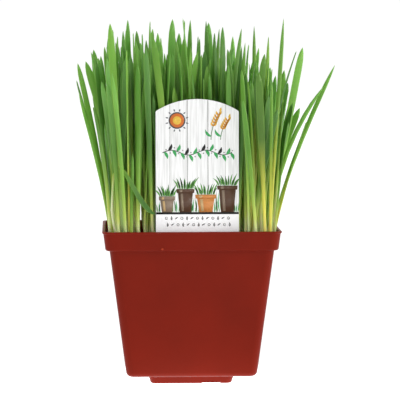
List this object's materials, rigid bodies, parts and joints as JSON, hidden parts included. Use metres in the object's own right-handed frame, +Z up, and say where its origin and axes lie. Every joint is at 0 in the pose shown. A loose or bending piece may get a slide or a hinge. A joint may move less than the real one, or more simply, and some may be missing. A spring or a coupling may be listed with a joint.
{
  "type": "potted wheatgrass",
  "caption": "Square tapered nursery pot with a banded rim and a raised square foot, filled with soil and dense upright wheatgrass, with an arched plant label at the front.",
  "frame": {"origin": "centre of the pot's foot, on the surface that it stands on", "axes": "+Z up, -Y out of the pot's front face, which the label faces, +X to the right seen from the front"},
  "size_m": [0.163, 0.1488, 0.2295],
  "materials": {
    "pot_plastic": "terracotta red injection-moulded polypropylene, satin",
    "potting_soil": "damp peat-based potting soil, rough",
    "label_plastic": "white printed plastic sheet, satin",
    "grass": "fresh green grass blades with a soft sheen"
  },
  "bodies": {
    "root": {"pot": "pot_plastic", "soil": "potting_soil", "plant_label": "label_plastic", "grass_clump_11": "grass", "grass_clump_12": "grass", "grass_clump_13": "grass", "grass_clump_14": "grass", "grass_clump_15": "grass", "grass_clump_21": "grass", "grass_clump_22": "grass", "grass_clump_23": "grass", "grass_clump_24": "grass", "grass_clump_25": "grass", "grass_clump_31": "grass", "grass_clump_32": "grass", "grass_clump_33": "grass", "grass_clump_34": "grass", "grass_clump_35": "grass", "grass_clump_41": "grass", "grass_clump_42": "grass", "grass_clump_43": "grass", "grass_clump_44": "grass", "grass_clump_45": "grass", "grass_clump_51": "grass", "grass_clump_52": "grass", "grass_clump_53": "grass", "grass_clump_54": "grass", "grass_clump_55": "grass"}
  },
  "joints": []
}
